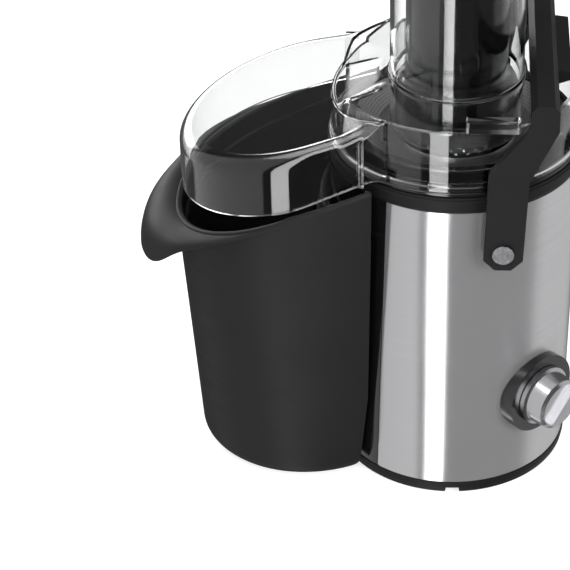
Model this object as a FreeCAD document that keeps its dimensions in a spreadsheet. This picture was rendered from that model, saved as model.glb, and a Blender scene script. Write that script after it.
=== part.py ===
import FreeCAD, Part
import math
import os
import re

import Sketcher
from FreeCAD import Placement, Rotation, Vector

# A centrifugal juicer with its pulp bin. Millimetres, +Z up. Every piece is drawn about the motor axis and
# then moved along X by axis_x, so that the origin is under the middle of the whole machine.

DIMENSIONS = [
    ("axis_x", 43.7, "motor axis, from the middle of the machine"),
    ("body_radius_low", 76.4, "steel panel, outside, at its bottom edge"),
    ("body_radius_high", 78.4, "steel panel, outside, at its top edge"),
    ("body_low", 9, "bottom edge of the steel panel"),
    ("body_high", 219, "top edge of the steel panel, and the deck"),
    ("steel_gauge", 0.8, "steel sheet"),
    ("skin_gap", 0.2, "between the housing and the panels round it"),
    ("panel_angle", 248, "degrees of the body that the steel covers"),
    ("wall", 2.4, "moulded wall"),
    ("foot_height", 2.2, "rubber foot"),
    ("foot_radius", 7, "rubber foot"),
    ("foot_circle", 58, "feet, from the axis"),
    ("ring_low", 1, "bottom edge of the base ring"),
    ("plate_radius", 72.8, "base plate"),
    ("plate_thickness", 2.6, "base plate"),
    ("collar_radius", 79.4, "trim collar"),
    ("collar_high", 229.6, "top of the trim collar"),
    ("bowl_bore", 70, "inside of the filter bowl"),
    ("bowl_floor", 222, "inside floor of the filter bowl"),
    ("bowl_flange", 78.6, "flange radius of the filter bowl"),
    ("flange_high", 232.6, "top of the flange of the filter bowl"),
    ("neck_bore", 18, "neck round the coupling, inside the bowl"),
    ("neck_high", 226, "top of that neck"),
    ("lid_radius", 76.8, "round cover, outside"),
    ("lid_low", 233, "bottom edge of the cover"),
    ("lid_high", 273.7, "top face of the cover"),
    ("lid_wall", 2.2, "clear moulding"),
    ("tube_radius", 41, "feed tube, outside"),
    ("tube_bore", 38.6, "feed tube, inside"),
    ("tube_low", 238, "lower end of the feed tube"),
    ("tube_high", 380, "mouth of the feed tube"),
    ("outlet_angle", 50, "degrees of the cover's wall that the pulp outlet takes"),
    ("outlet_low", 240, "lower edge of the pulp outlet"),
    ("outlet_high", 257, "upper edge of the pulp outlet"),
    ("hood_radius", 74.2, "hood, outside, over the bin"),
    ("hood_root_x", -40, "where the hood meets the cover"),
    ("hood_root_y", 65.6, "where the hood meets the cover"),
    ("bin_centre", -98, "middle of the pulp bin"),
    ("bin_low", 0.8, "underside of the pulp bin"),
    ("bin_wall", 2.2, "pulp bin"),
    ("bin_edge_low", -54, "front corner of the bin beside the body, at the floor"),
    ("bin_edge_high", -49.5, "the same corner at the rim"),
    ("bin_gap_radius", 81, "hollow of the bin that goes round the body"),
    ("bin_back_high", 189, "top of the bin's wall beside the body"),
    ("rim_high", 211.8, "rim of the bin, at its middle"),
    ("rim_slope", 0.385, "rise of the rim towards the body"),
    ("handle_reach", 24, "handle lip, out from the rim"),
    ("handle_drop", 26.5, "handle lip, down from the rim"),
    ("handle_wall", 3.2, "handle lip"),
    ("shaft_radius", 4, "motor shaft"),
    ("shaft_low", 52, "lower end of the motor shaft"),
    ("shaft_high", 226, "upper end of the motor shaft"),
    ("stack_low", 90, "bottom of the iron"),
    ("stack_height", 42, "iron of the stator and of the rotor"),
    ("stator_radius", 42, "stator iron"),
    ("stator_bore", 24.5, "stator iron"),
    ("rotor_radius", 24, "rotor iron"),
    ("bearing_radius", 11, "ball bearings"),
    ("bearing_height", 7, "ball bearings"),
    ("lower_bearing", 57, "bottom of the lower bearing"),
    ("upper_bearing", 170, "bottom of the upper bearing"),
    ("post_circle", 36, "motor posts, from the axis"),
    ("post_radius", 3, "motor posts"),
    ("mount_low", 40, "underside of the rubber motor mounts"),
    ("coupling_radius", 12, "drive coupling"),
    ("basket_floor", 230, "underside of the sieve basket's floor"),
    ("basket_foot", 50, "sieve basket at its floor"),
    ("basket_mouth", 66.5, "sieve basket at its rim"),
    ("basket_high", 242.6, "rim of the sieve basket"),
    ("disc_radius", 37.5, "grating disc"),
    ("pusher_radius", 31.5, "shank of the food pusher"),
    ("pusher_foot", 38, "foot of the food pusher"),
    ("pusher_low", 240, "underside of the food pusher"),
    ("pusher_high", 384, "top of the food pusher's shank"),
    ("cap_radius", 43, "cap of the food pusher"),
    ("cap_height", 12, "cap of the food pusher"),
    ("arm_pivot_x", 30, "locking arm's pivot, from the motor axis"),
    ("arm_pivot_z", 195, "locking arm's pivot"),
    ("arm_inside", 79.8, "locking arm, half width between its legs"),
    ("arm_outside", 84.8, "locking arm, half width outside"),
    ("pin_radius", 4, "pivot pins"),
    ("pin_clearance", 0.06, "pin in its eye"),
    ("knob_angle", -45, "direction of the control knob, from +X"),
    ("knob_z", 70, "height of the control knob"),
    ("knob_radius", 20, "control knob"),
    ("knob_depth", 17, "control knob"),
    ("knob_face", 83, "back of the knob, from the motor axis"),
    ("bezel_radius", 27, "dial plate"),
    ("inlet_z", 34, "cord inlet, at the back"),
    ("spout_width", 28, "juice spout"),
    ("spout_wall", 2, "juice spout"),
]
NAMES = [name for name, _, _ in DIMENSIONS]
NAME_PATTERN = re.compile(r"\b(" + "|".join(NAMES) + r")\b")

os.makedirs("parts", exist_ok=True)
doc = FreeCAD.newDocument("CentrifugalJuicer")
sheet = doc.addObject("Spreadsheet::Sheet", "Dimensions")
for row, (name, number, note) in enumerate(DIMENSIONS, start=1):
    sheet.set(f"A{row}", name)
    sheet.set(f"B{row}", str(number))
    sheet.set(f"C{row}", note)
    sheet.setAlias(f"B{row}", name)
doc.recompute()

nodes = []


# ---------------------------------------------------------------- helpers


def bound(text):
    """An expression on the sheet, from one that names its cells plainly."""
    return NAME_PATTERN.sub(r"Dimensions.\1", str(text))


def size(text):
    """The present value of such an expression."""
    result = sheet.evalExpression(bound(text))
    return float(getattr(result, "Value", result))


def bind(thing, prop, text):
    """Ties a property to the sheet."""
    thing.setExpression(prop, bound(text))


def node(thing, x="axis_x", y="0", z="0", turn=None):
    """Registers a finished piece and puts it in its place in the machine."""
    if turn is not None:
        thing.Placement = Placement(Vector(0, 0, 0), turn)
    for letter, text in (("x", x), ("y", y), ("z", z)):
        bind(thing, f"Placement.Base.{letter}", text)
    nodes.append(thing)
    return thing


def new_body(label):
    body = doc.addObject("PartDesign::Body", label)
    body.Label = label
    return body


def new_sketch(body, role, offset=None):
    """An empty sketch on one of a body's own origin planes, moved along the plane's normal by offset."""
    sketch = body.newObject("Sketcher::SketchObject", f"{body.Label}_sketch")
    plane = next(f for f in body.Origin.OriginFeatures if f.Role == role)
    sketch.AttachmentSupport = [(plane, "")]
    sketch.MapMode = "FlatFace"
    if offset is not None:
        bind(sketch, "AttachmentOffset.Base.z", offset)
    return sketch


def pin_point(sketch, curve, end, across, up):
    """Holds a point of a sketch at a distance from its origin."""
    for kind, text in (("DistanceX", across), ("DistanceY", up)):
        made = sketch.addConstraint(Sketcher.Constraint(kind, -1, 1, curve, end, size(text)))
        sketch.setExpression(f"Constraints[{made}]", bound(text))


def draw_polygon(sketch, corners):
    """A closed outline of straight lines. A corner is a pair of expressions."""
    first = sketch.GeometryCount
    count = len(corners)
    points = [Vector(size(across), size(up), 0) for across, up in corners]
    for start, stop in zip(points, points[1:] + points[:1]):
        sketch.addGeometry(Part.LineSegment(start, stop))
    for index in range(count):
        following = first + (index + 1) % count
        sketch.addConstraint(Sketcher.Constraint("Coincident", first + index, 2, following, 1))
    for index, (across, up) in enumerate(corners):
        pin_point(sketch, first + index, 1, across, up)


def draw_circle(sketch, across, up, radius):
    curve = sketch.addGeometry(
        Part.Circle(Vector(size(across), size(up), 0), Vector(0, 0, 1), size(radius))
    )
    pin_point(sketch, curve, 3, across, up)
    made = sketch.addConstraint(Sketcher.Constraint("Radius", curve, size(radius)))
    sketch.setExpression(f"Constraints[{made}]", bound(radius))


def revolve(body, corners, angle="360"):
    """Turns an outline, given as radius and height pairs, about the body's own Z axis."""
    sketch = new_sketch(body, "XZ_Plane")
    draw_polygon(sketch, corners)
    feature = body.newObject("PartDesign::Revolution", f"{body.Label}_turned")
    feature.Profile = sketch
    feature.ReferenceAxis = (sketch, ["V_Axis"])
    feature.Midplane = True
    bind(feature, "Angle", angle)
    return feature


def pad(body, sketch, length, midplane=False):
    feature = body.newObject("PartDesign::Pad", f"{body.Label}_pad")
    feature.Profile = sketch
    feature.Midplane = midplane
    bind(feature, "Length", length)
    return feature


def pocket(body, sketch, length, midplane=False, reverse=False):
    feature = body.newObject("PartDesign::Pocket", f"{body.Label}_pocket")
    feature.Profile = sketch
    feature.Midplane = midplane
    feature.Reversed = reverse
    bind(feature, "Length", length)
    return feature


def turned_body(label, corners, angle="360"):
    body = new_body(label)
    revolve(body, corners, angle)
    return body


def side_body(label, corners, width):
    """An outline in the XZ plane, given width along Y, half on each side."""
    body = new_body(label)
    sketch = new_sketch(body, "XZ_Plane")
    draw_polygon(sketch, corners)
    pad(body, sketch, width, midplane=True)
    return body


def tube_corners(bore, radius, low, high):
    return [(bore, low), (radius, low), (radius, high), (bore, high)]


def rod(label, radius, length, x="0", y="0", z="0", turn=None):
    """A plain cylinder, used as a piece of a piece."""
    cylinder = doc.addObject("Part::Cylinder", label)
    bind(cylinder, "Radius", radius)
    bind(cylinder, "Height", length)
    if turn is not None:
        cylinder.Placement = Placement(Vector(0, 0, 0), turn)
    for letter, text in (("x", x), ("y", y), ("z", z)):
        bind(cylinder, f"Placement.Base.{letter}", text)
    return cylinder


def block(label, sizes, corner):
    """A plain box: its sizes and its lowest corner."""
    box = doc.addObject("Part::Box", label)
    for prop, text in zip(("Length", "Width", "Height"), sizes):
        bind(box, prop, text)
    for letter, text in zip("xyz", corner):
        bind(box, f"Placement.Base.{letter}", text)
    return box


def cut(label, base, tool):
    result = doc.addObject("Part::Cut", label)
    result.Base = base
    result.Tool = tool
    return result


def common(label, base, tool):
    result = doc.addObject("Part::Common", label)
    result.Base = base
    result.Tool = tool
    return result


def join(label, pieces):
    result = doc.addObject("Part::MultiFuse", label)
    result.Shapes = pieces
    return result


def group(label, pieces):
    """Separate solids that share a node."""
    result = doc.addObject("Part::Compound", label)
    result.Links = pieces
    return result


def around(count, first=0.0):
    return [first + index * 360.0 / count for index in range(count)]


ALONG_Y = Rotation(Vector(1, 0, 0), -90)
KNOB_ANGLE = math.radians(size("knob_angle"))
KNOB_TURN = Rotation(Vector(0, 0, 1), Vector(math.cos(KNOB_ANGLE), math.sin(KNOB_ANGLE), 0))


def radial_rod(label, radius, start, stop):
    """A cylinder along the knob's direction, between two distances from the motor axis."""
    return rod(
        label,
        radius,
        f"({stop}) - ({start})",
        f"({start}) * cos(knob_angle)",
        f"({start}) * sin(knob_angle)",
        "knob_z",
        KNOB_TURN,
    )


def casing_holes(label):
    """The holes for the knob's spindle and for the cord inlet, as one tool."""
    spindle_hole = radial_rod(f"{label}_spindle_hole", "4.5", "60", "90")
    inlet_hole = rod(f"{label}_inlet_hole", "7", "30", "0", "60", "inlet_z", ALONG_Y)
    return join(f"{label}_holes", [spindle_hole, inlet_hole])


# ---------------------------------------------------------------- casing

SKIN_LOW = "body_radius_low - steel_gauge"
SKIN_HIGH = "body_radius_high - steel_gauge"
HOUSING_LOW = f"{SKIN_LOW} - skin_gap"
HOUSING_HIGH = f"{SKIN_HIGH} - skin_gap"
DECK_BORE = "16"
DECK_UNDER = "body_high - 3"

housing_shell = turned_body(
    "housing_shell",
    [
        (HOUSING_LOW, "body_low"),
        (HOUSING_HIGH, "body_high"),
        (DECK_BORE, "body_high"),
        (DECK_BORE, DECK_UNDER),
        (f"{HOUSING_HIGH} - wall", DECK_UNDER),
        (f"{HOUSING_LOW} - wall", "body_low"),
    ],
)
node(cut("motor_housing", housing_shell, casing_holes("housing")))

steel_shell = turned_body(
    "steel_shell",
    [
        (SKIN_LOW, "body_low"),
        ("body_radius_low", "body_low"),
        ("body_radius_high", "body_high"),
        (SKIN_HIGH, "body_high"),
    ],
    "panel_angle",
)
node(cut("steel_wrap", steel_shell, casing_holes("steel")))

node(
    turned_body(
        "bin_side_panel",
        [
            (f"-({SKIN_LOW})", "body_low"),
            ("-(body_radius_low + 0.8)", "body_low"),
            ("-(body_radius_high + 0.8)", "body_high"),
            (f"-({SKIN_HIGH})", "body_high"),
        ],
        "360 - panel_angle - 0.4",
    )
)

ring_shell = turned_body("ring_shell", tube_corners("73", "body_radius_low + 0.5", "ring_low", "body_low - 0.2"))
ring_notch = block("ring_notch", ("9", "10", "4"), ("-2", "-81", "ring_low - 0.2"))
node(cut("base_ring", ring_shell, ring_notch))

base_plate = new_body("base_plate")
sketch = new_sketch(base_plate, "XY_Plane", "foot_height")
draw_circle(sketch, "0", "0", "plate_radius")
pad(base_plate, sketch, "plate_thickness")
sketch = new_sketch(base_plate, "XY_Plane", "foot_height + plate_thickness")
draw_circle(sketch, "post_circle", "0", "post_radius + 2")
posts = pad(base_plate, sketch, "mount_low - foot_height - plate_thickness")
pattern = base_plate.newObject("PartDesign::PolarPattern", "base_plate_posts")
pattern.Originals = [posts]
pattern.Axis = (sketch, ["N_Axis"])
pattern.Angle = 360
pattern.Occurrences = 4
base_plate.Tip = pattern
node(base_plate)

for index, angle in enumerate(around(4, 45), start=1):
    foot = rod(
        f"rubber_foot_{index}",
        "foot_radius",
        "foot_height",
    )
    node(foot, f"axis_x + foot_circle * cos({angle})", f"foot_circle * sin({angle})", "0")

collar_shell = turned_body(
    "collar_shell",
    [
        ("73", "body_high + 0.2"),
        ("collar_radius - 0.4", "body_high + 0.2"),
        ("collar_radius", "body_high + 2"),
        ("collar_radius", "collar_high - 1"),
        ("collar_radius - 0.8", "collar_high"),
        ("73", "collar_high"),
    ],
)
collar_gap = block(
    "collar_gap", ("20", "spout_width + 1", "30"), ("66", "-(spout_width + 1) / 2", "body_high - 5")
)
node(cut("trim_collar", collar_shell, collar_gap))

# ---------------------------------------------------------------- filter bowl with its spout

bowl = turned_body(
    "filter_bowl",
    [
        ("neck_bore", "body_high + 0.6"),
        ("bowl_bore + 2.6", "body_high + 0.6"),
        ("bowl_bore + 2.6", "collar_high + 0.2"),
        ("bowl_flange", "collar_high + 0.2"),
        ("bowl_flange", "flange_high"),
        ("bowl_bore + 4.2", "flange_high"),
        ("bowl_bore + 4.2", "flange_high + 5"),
        ("bowl_bore + 2", "flange_high + 5"),
        ("bowl_bore", "collar_high"),
        ("bowl_bore", "bowl_floor"),
        ("neck_bore + 2.5", "bowl_floor"),
        ("neck_bore + 2.5", "neck_high"),
        ("neck_bore", "neck_high"),
    ],
)
SPOUT_OUTSIDE = [
    ("71", "body_high + 0.6"),
    ("71", "collar_high + 0.2"),
    ("87", "collar_high + 0.2"),
    ("103", "225"),
    ("113", "214"),
    ("113", "198"),
    ("98", "198"),
    ("98", "207"),
    ("90", "215"),
    ("81", "body_high + 0.6"),
]
SPOUT_INSIDE = [
    ("67", "bowl_floor"),
    ("67", "collar_high - 1.8"),
    ("86.5", "collar_high - 1.8"),
    ("102", "223.2"),
    ("111", "213.2"),
    ("111", "196"),
    ("100", "196"),
    ("100", "208"),
    ("91", "217"),
    ("82", "bowl_floor"),
]
sketch = new_sketch(bowl, "XZ_Plane")
draw_polygon(sketch, SPOUT_OUTSIDE)
pad(bowl, sketch, "spout_width", midplane=True)
sketch = new_sketch(bowl, "XZ_Plane")
draw_polygon(sketch, SPOUT_INSIDE)
pocket(bowl, sketch, "spout_width - 2 * spout_wall", midplane=True)
node(bowl)

node(turned_body("shaft_seal", tube_corners("shaft_radius + 0.05", "15.9", DECK_UNDER, "body_high")))
node(turned_body("bowl_seal", tube_corners("24", "26", "body_high + 0.02", "body_high + 0.58")))

# ---------------------------------------------------------------- clear cover, feed tube and hood

COVER_OUTSIDE = [
    ("lid_radius + 1.2", "lid_low"),
    ("lid_radius + 1.2", "lid_low + 3"),
    ("lid_radius", "lid_low + 3.6"),
    ("lid_radius", "lid_high"),
]
cover = turned_body(
    "cover_shell",
    [
        ("lid_radius - lid_wall", "lid_low"),
        *COVER_OUTSIDE,
        ("tube_radius", "lid_high"),
        ("tube_radius", "lid_high - lid_wall"),
        ("lid_radius - lid_wall", "lid_high - lid_wall"),
    ],
)
node(turned_body("feed_tube", tube_corners("tube_bore", "tube_radius", "tube_low", "tube_high")))

HOOD_TOP = [("-30", "273.7"), ("-44", "273.7"), ("-68", "262"), ("-180", "231.5")]
HOOD_BOTTOM = [("-180", "194"), ("bin_centre", "214.5"), ("-50", "232.6"), ("-30", "232.6")]


def hood_plan(label, radius, root_x, root_y):
    """The hood seen from above: a round end over the bin, and sides that run tangent from it to the cover."""
    body = new_body(label)
    sketch = new_sketch(body, "XY_Plane", "150")
    end = sketch.addGeometry(
        Part.ArcOfCircle(
            Part.Circle(Vector(size("bin_centre"), 0, 0), Vector(0, 0, 1), size(radius)),
            math.radians(84),
            math.radians(276),
        )
    )
    tip_y = size(radius)
    root = Vector(size(root_x), size(root_y), 0)
    near = sketch.addGeometry(
        Part.LineSegment(Vector(size("bin_centre"), -tip_y, 0), Vector(root.x, -root.y, 0))
    )
    back = sketch.addGeometry(Part.LineSegment(Vector(root.x, -root.y, 0), root))
    far = sketch.addGeometry(Part.LineSegment(root, Vector(size("bin_centre"), tip_y, 0)))
    for one, one_end, other, other_end in ((near, 2, back, 1), (back, 2, far, 1)):
        sketch.addConstraint(Sketcher.Constraint("Coincident", one, one_end, other, other_end))
    sketch.addConstraint(Sketcher.Constraint("Tangent", end, 2, near, 1))
    sketch.addConstraint(Sketcher.Constraint("Tangent", far, 2, end, 1))
    pin_point(sketch, end, 3, "bin_centre", "0")
    made = sketch.addConstraint(Sketcher.Constraint("Radius", end, size(radius)))
    sketch.setExpression(f"Constraints[{made}]", bound(radius))
    pin_point(sketch, near, 2, root_x, f"-({root_y})")
    pin_point(sketch, far, 1, root_x, root_y)
    pad(body, sketch, "150")
    return body


hood_block = common(
    "hood_block",
    hood_plan("hood_plan_outside", "hood_radius", "hood_root_x", "hood_root_y"),
    side_body("hood_side_outside", HOOD_TOP + HOOD_BOTTOM, "200"),
)
HOOD_ROOF = [(x, f"{z} - lid_wall") for x, z in HOOD_TOP]
HOOD_UNDER = [("-180", "100"), ("-30", "100")]
hood_hollow = common(
    "hood_hollow",
    hood_plan("hood_plan_inside", "hood_radius - lid_wall", "hood_root_x", "hood_root_y - lid_wall"),
    side_body("hood_side_inside", HOOD_ROOF + HOOD_UNDER, "200"),
)
hood_shell = cut("hood_shell", hood_block, hood_hollow)
cover_core = turned_body(
    "cover_core",
    [("0", "150"), ("lid_radius + 1.2", "150")] + COVER_OUTSIDE[1:] + [("lid_radius", "290"), ("0", "290")],
)
node(cut("bin_hood", hood_shell, cover_core))
outlet_core = turned_body(
    "outlet_core",
    [
        ("-(lid_radius - lid_wall - 3)", "outlet_low"),
        ("-(lid_radius + 3)", "outlet_low"),
        ("-(lid_radius + 3)", "outlet_high"),
        ("-(lid_radius - lid_wall - 3)", "outlet_high"),
    ],
    "outlet_angle",
)
lid_ears = [
    block(f"lid_ear_{name}", ("34", "9", "8"), ("5", corner_y, "lid_high - 1"))
    for name, corner_y in (("front", "-77"), ("rear", "68"))
]
cover_rounding = rod("cover_rounding", "lid_radius + 0.8", "30", z="lid_high - 10")
lid_lugs = common("lid_lugs", group("lid_ears", lid_ears), cover_rounding)
node(cut("clear_cover", join("cover_body", [cover, lid_lugs]), outlet_core))

# ---------------------------------------------------------------- food pusher

node(
    turned_body(
        "food_pusher",
        [
            ("0", "pusher_low"),
            ("pusher_foot", "pusher_low"),
            ("pusher_foot", "pusher_low + 28"),
            ("pusher_radius", "pusher_low + 33"),
            ("pusher_radius", "pusher_high"),
            ("pusher_radius - 3", "pusher_high"),
            ("pusher_radius - 3", "pusher_low + 4"),
            ("0", "pusher_low + 4"),
        ],
    )
)
node(
    turned_body(
        "pusher_cap",
        [
            ("0", "pusher_high"),
            ("pusher_radius", "pusher_high"),
            ("pusher_radius", "tube_high + 0.8"),
            ("cap_radius", "tube_high + 0.8"),
            ("cap_radius", "pusher_high + cap_height - 4"),
            ("cap_radius - 4", "pusher_high + cap_height"),
            ("0", "pusher_high + cap_height"),
        ],
    )
)

# ---------------------------------------------------------------- pulp bin

BIN_LEVELS = (0.0, 80.0, 160.0, 245.0)
BIN_POINTS = 32
HANDLE_SECTIONS = 13
HANDLE_SPREAD = 78.0


def bin_shape(height):
    """Reach to the far end, reach to the body's side, half width and squareness of the bin at a height."""
    far = 68.5 + 0.0545 * height
    near = 72.0 + 0.254 * height
    half = 66.0 + 0.0655 * height
    power = 2.0 + 0.00175 * height
    return far, near, half, power


def bin_point(angle, height, inset=0.0):
    """A point of the bin's outline, on a superellipse that is longer on the body's side."""
    far, near, half, power = bin_shape(height)
    cosine, sine = math.cos(angle), math.sin(angle)
    reach = (near if cosine > 0 else far) - inset
    across = math.copysign(abs(cosine) ** (2 / power), cosine) * reach
    along = math.copysign(abs(sine) ** (2 / power), sine) * (half - inset)
    return Vector(size("bin_centre") + across, along, height)


def bin_loft(low, inset):
    """The bin's outside, or its inside when inset, from a level up past the rim."""
    wires = []
    for level in BIN_LEVELS:
        height = max(level, low)
        turns = [2 * math.pi * step / BIN_POINTS for step in range(BIN_POINTS)]
        curve = Part.BSplineCurve()
        curve.interpolate(
            Points=[bin_point(turn, height, inset) for turn in turns], PeriodicFlag=True
        )
        wires.append(Part.Wire([curve.toShape()]))
    return Part.makeLoft(wires, True, False)


def rim_height(x):
    return size("rim_high") + size("rim_slope") * (x - size("bin_centre"))


def rim_point(turn):
    """A point on the outside of the slanting rim."""
    height = size("rim_high")
    for _ in range(6):
        point = bin_point(turn, height)
        height = rim_height(point.x)
    return Vector(point.x, point.y, height)


def handle_section(away):
    """The handle lip cut along a radius, away degrees from the far end: a quarter curl, outward and down."""
    share = max(0.0, math.cos(math.radians(away * 90 / (HANDLE_SPREAD + 2))))
    wall = size("handle_wall")
    reach = 3.6 + (size("handle_reach") - 3.6) * share**1.5
    drop = 4.2 + (size("handle_drop") - 4.2) / (1 + (away / 37) ** 6)
    turn = math.radians(180 - away)
    start = rim_point(turn) + Vector(0, 0, -1.5)
    outward = Vector(math.cos(turn), math.sin(turn), 0)
    start = start - outward * 1.6

    def curl(out, down, lowered):
        steps = [math.radians(90 * step / 4) for step in range(5)]
        return [
            start + outward * (1.6 + out * math.sin(step)) + Vector(0, 0, -lowered - down * (1 - math.cos(step)))
            for step in steps
        ]

    outside = [start] + curl(reach, drop, 0.0)
    inside = [start + Vector(0, 0, -wall)] + curl(reach - wall, drop - wall, wall)
    edges = []
    for points in (outside, inside[::-1]):
        curve = Part.BSplineCurve()
        curve.interpolate(Points=points)
        edges.append(curve.toShape())
    edges.insert(1, Part.LineSegment(outside[-1], inside[-1]).toShape())
    edges.append(Part.LineSegment(inside[0], outside[0]).toShape())
    return Part.Wire(edges)


def side_slab(corners):
    """A thick slab with a given outline in the XZ plane, wider than the whole machine."""
    points = [Vector(x, -150, z) for x, z in corners]
    outline = Part.makePolygon(points + points[:1])
    return Part.Face(outline).extrude(Vector(0, 300, 0))


def make_bin():
    """The whole bin as one shell: walls and floor, slanting rim, hollow beside the body, and handle lip."""
    wall = size("bin_wall")
    low = size("bin_low")
    gap = size("bin_gap_radius")
    tall = 300.0
    edge_low = size("bin_edge_low")
    edge_high = size("bin_edge_high")
    lean = (edge_high - edge_low) / size("rim_high")

    def beside(inset):
        """The space of the body, with a flat face at each front corner of the bin."""
        flat = side_slab(
            [
                (edge_low - inset, 0.0),
                (100.0, 0.0),
                (100.0, tall),
                (edge_low - inset + lean * tall, tall),
            ]
        )
        return Part.makeCylinder(gap + inset, tall).fuse(flat)

    outside = bin_loft(low, 0.0).cut(beside(0.0))
    inside = bin_loft(low + wall, wall).cut(beside(wall))
    shell = outside.cut(inside)
    left, right = -220.0, 20.0
    above = side_slab(
        [(left, rim_height(left)), (right, rim_height(right)), (right, tall), (left, tall)]
    )
    shell = shell.cut(above)
    half = size("hood_radius") + 0.3
    window = Part.makeBox(60, 2 * half, tall, Vector(-95, -half, size("bin_back_high")))
    shell = shell.cut(window)
    steps = range(HANDLE_SECTIONS)
    spread = [HANDLE_SPREAD * (2 * step / (HANDLE_SECTIONS - 1) - 1) for step in steps]
    lip = Part.makeLoft([handle_section(away) for away in spread], True, False)
    lip = lip.cut(inside)
    return shell.fuse(lip).removeSplitter()


pulp_bin = doc.addObject("Part::Feature", "pulp_bin")
pulp_bin.Shape = make_bin()
node(pulp_bin)

# ---------------------------------------------------------------- motor

STACK_HIGH = "stack_low + stack_height"
node(
    turned_body("stator_stack", tube_corners("stator_bore", "stator_radius", "stack_low", STACK_HIGH))
)
for name, low in (("lower", "stack_low - 10"), ("upper", STACK_HIGH)):
    coils = [
        turned_body(
            f"coil_{name}_{side}",
            tube_corners(f"{sign}26", f"{sign}33", low, f"{low} + 10"),
            "140",
        )
        for side, sign in (("right", ""), ("left", "-"))
    ]
    node(group(f"field_coils_{name}", coils))

for name, bearing in (("lower", "lower_bearing"), ("upper", "upper_bearing")):
    node(
        turned_body(
            f"{name}_bearing",
            tube_corners("shaft_radius + 0.03", "bearing_radius", bearing, f"{bearing} + bearing_height"),
        )
    )


def motor_bracket(label, plate_low, posts_low, posts_high):
    """A plate that holds a bearing, with four posts to the stator."""
    body = turned_body(
        label, tube_corners("bearing_radius + 0.02", "stator_radius", plate_low, f"{plate_low} + 4")
    )
    sketch = new_sketch(body, "XY_Plane", posts_low)
    for angle in around(4):
        draw_circle(
            sketch, f"post_circle * cos({angle})", f"post_circle * sin({angle})", "post_radius"
        )
    pad(body, sketch, f"({posts_high}) - ({posts_low})")
    return body


node(motor_bracket("lower_bracket", "58", "61", "stack_low"))
node(motor_bracket("upper_bracket", "171", STACK_HIGH, "172"))

for index, angle in enumerate(around(4), start=1):
    mount = rod(f"motor_mount_{index}", "post_radius + 3.5", "58 - mount_low")
    node(mount, f"axis_x + post_circle * cos({angle})", f"post_circle * sin({angle})", "mount_low")

brushes = []
holders = []
for side, sign in (("front", -1), ("rear", 1)):
    inner = 12.4
    outer = 28.0
    near = inner if sign > 0 else -outer
    brushes.append(block(f"brush_{side}", ("5", f"{outer - inner}", "8"), ("-2.5", f"{near}", "150")))
    sleeve_near = 14.0 if sign > 0 else -30.0
    sleeve = block(f"sleeve_{side}", ("9", "16", "12"), ("-4.5", f"{sleeve_near}", "148"))
    slot = block(f"sleeve_slot_{side}", ("5.2", "17", "8.2"), ("-2.6", f"{sleeve_near - 0.5}", "149.9"))
    holders.append(cut(f"holder_{side}", sleeve, slot))
node(group("carbon_brushes", brushes))
node(group("brush_holders", holders))

# ---------------------------------------------------------------- everything that spins

node(
    turned_body(
        "motor_shaft",
        [("0", "shaft_low"), ("shaft_radius", "shaft_low"), ("shaft_radius", "shaft_high"), ("0", "shaft_high")],
    )
)
node(turned_body("rotor_stack", tube_corners("shaft_radius", "rotor_radius", "stack_low", STACK_HIGH)))
windings = [
    turned_body(f"winding_{name}", tube_corners("shaft_radius", "19", low, f"{low} + 9"))
    for name, low in (("lower", "stack_low - 9"), ("upper", STACK_HIGH))
]
node(group("rotor_windings", windings))
node(turned_body("commutator", tube_corners("shaft_radius", "12", "146", "162")))

cooling_fan = turned_body("cooling_fan", tube_corners("shaft_radius", "9", "66", "77"))
sketch = new_sketch(cooling_fan, "XY_Plane", "67")
draw_polygon(sketch, [("8", "-1"), ("31", "-5"), ("31", "-3.4"), ("8", "0.8")])
blade = pad(cooling_fan, sketch, "9")
pattern = cooling_fan.newObject("PartDesign::PolarPattern", "cooling_fan_blades")
pattern.Originals = [blade]
pattern.Axis = (sketch, ["N_Axis"])
pattern.Angle = 360
pattern.Occurrences = 9
cooling_fan.Tip = pattern
node(cooling_fan)

node(turned_body("drive_coupling", tube_corners("shaft_radius", "coupling_radius", "body_high + 2", "shaft_high")))
node(
    turned_body(
        "basket_hub",
        [
            ("0", "shaft_high + 1"),
            ("coupling_radius + 0.1", "shaft_high + 1"),
            ("coupling_radius + 0.1", "bowl_floor + 0.5"),
            ("neck_bore - 2.4", "bowl_floor + 0.5"),
            ("neck_bore - 2.4", "basket_floor - 2.6"),
            ("30", "basket_floor - 2.6"),
            ("30", "basket_floor"),
            ("0", "basket_floor"),
        ],
    )
)
node(
    turned_body(
        "sieve_basket",
        [
            ("0", "basket_floor"),
            ("basket_foot", "basket_floor"),
            ("basket_mouth - 1", "basket_high - 2.4"),
            ("basket_mouth + 1.4", "basket_high - 2.4"),
            ("basket_mouth + 1.4", "basket_high"),
            ("basket_mouth - 2", "basket_high"),
            ("basket_foot - 1.2", "basket_floor + 1.4"),
            ("0", "basket_floor + 1.4"),
        ],
    )
)
grating_disc = turned_body(
    "grating_disc",
    [
        ("0", "basket_floor + 1.4"),
        ("disc_radius", "basket_floor + 1.4"),
        ("disc_radius", "basket_floor + 3"),
        ("9", "basket_floor + 3"),
        ("6", "basket_floor + 6"),
        ("0", "basket_floor + 6"),
    ],
)
sketch = new_sketch(grating_disc, "XY_Plane", "basket_floor + 2.8")
draw_polygon(sketch, [("13", "-0.5"), ("35", "-0.5"), ("35", "0.5"), ("13", "0.5")])
ridge = pad(grating_disc, sketch, "1.8")
pattern = grating_disc.newObject("PartDesign::PolarPattern", "grating_disc_ridges")
pattern.Originals = [ridge]
pattern.Axis = (sketch, ["N_Axis"])
pattern.Angle = 360
pattern.Occurrences = 12
grating_disc.Tip = pattern
node(grating_disc)

# ---------------------------------------------------------------- locking arm

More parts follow.
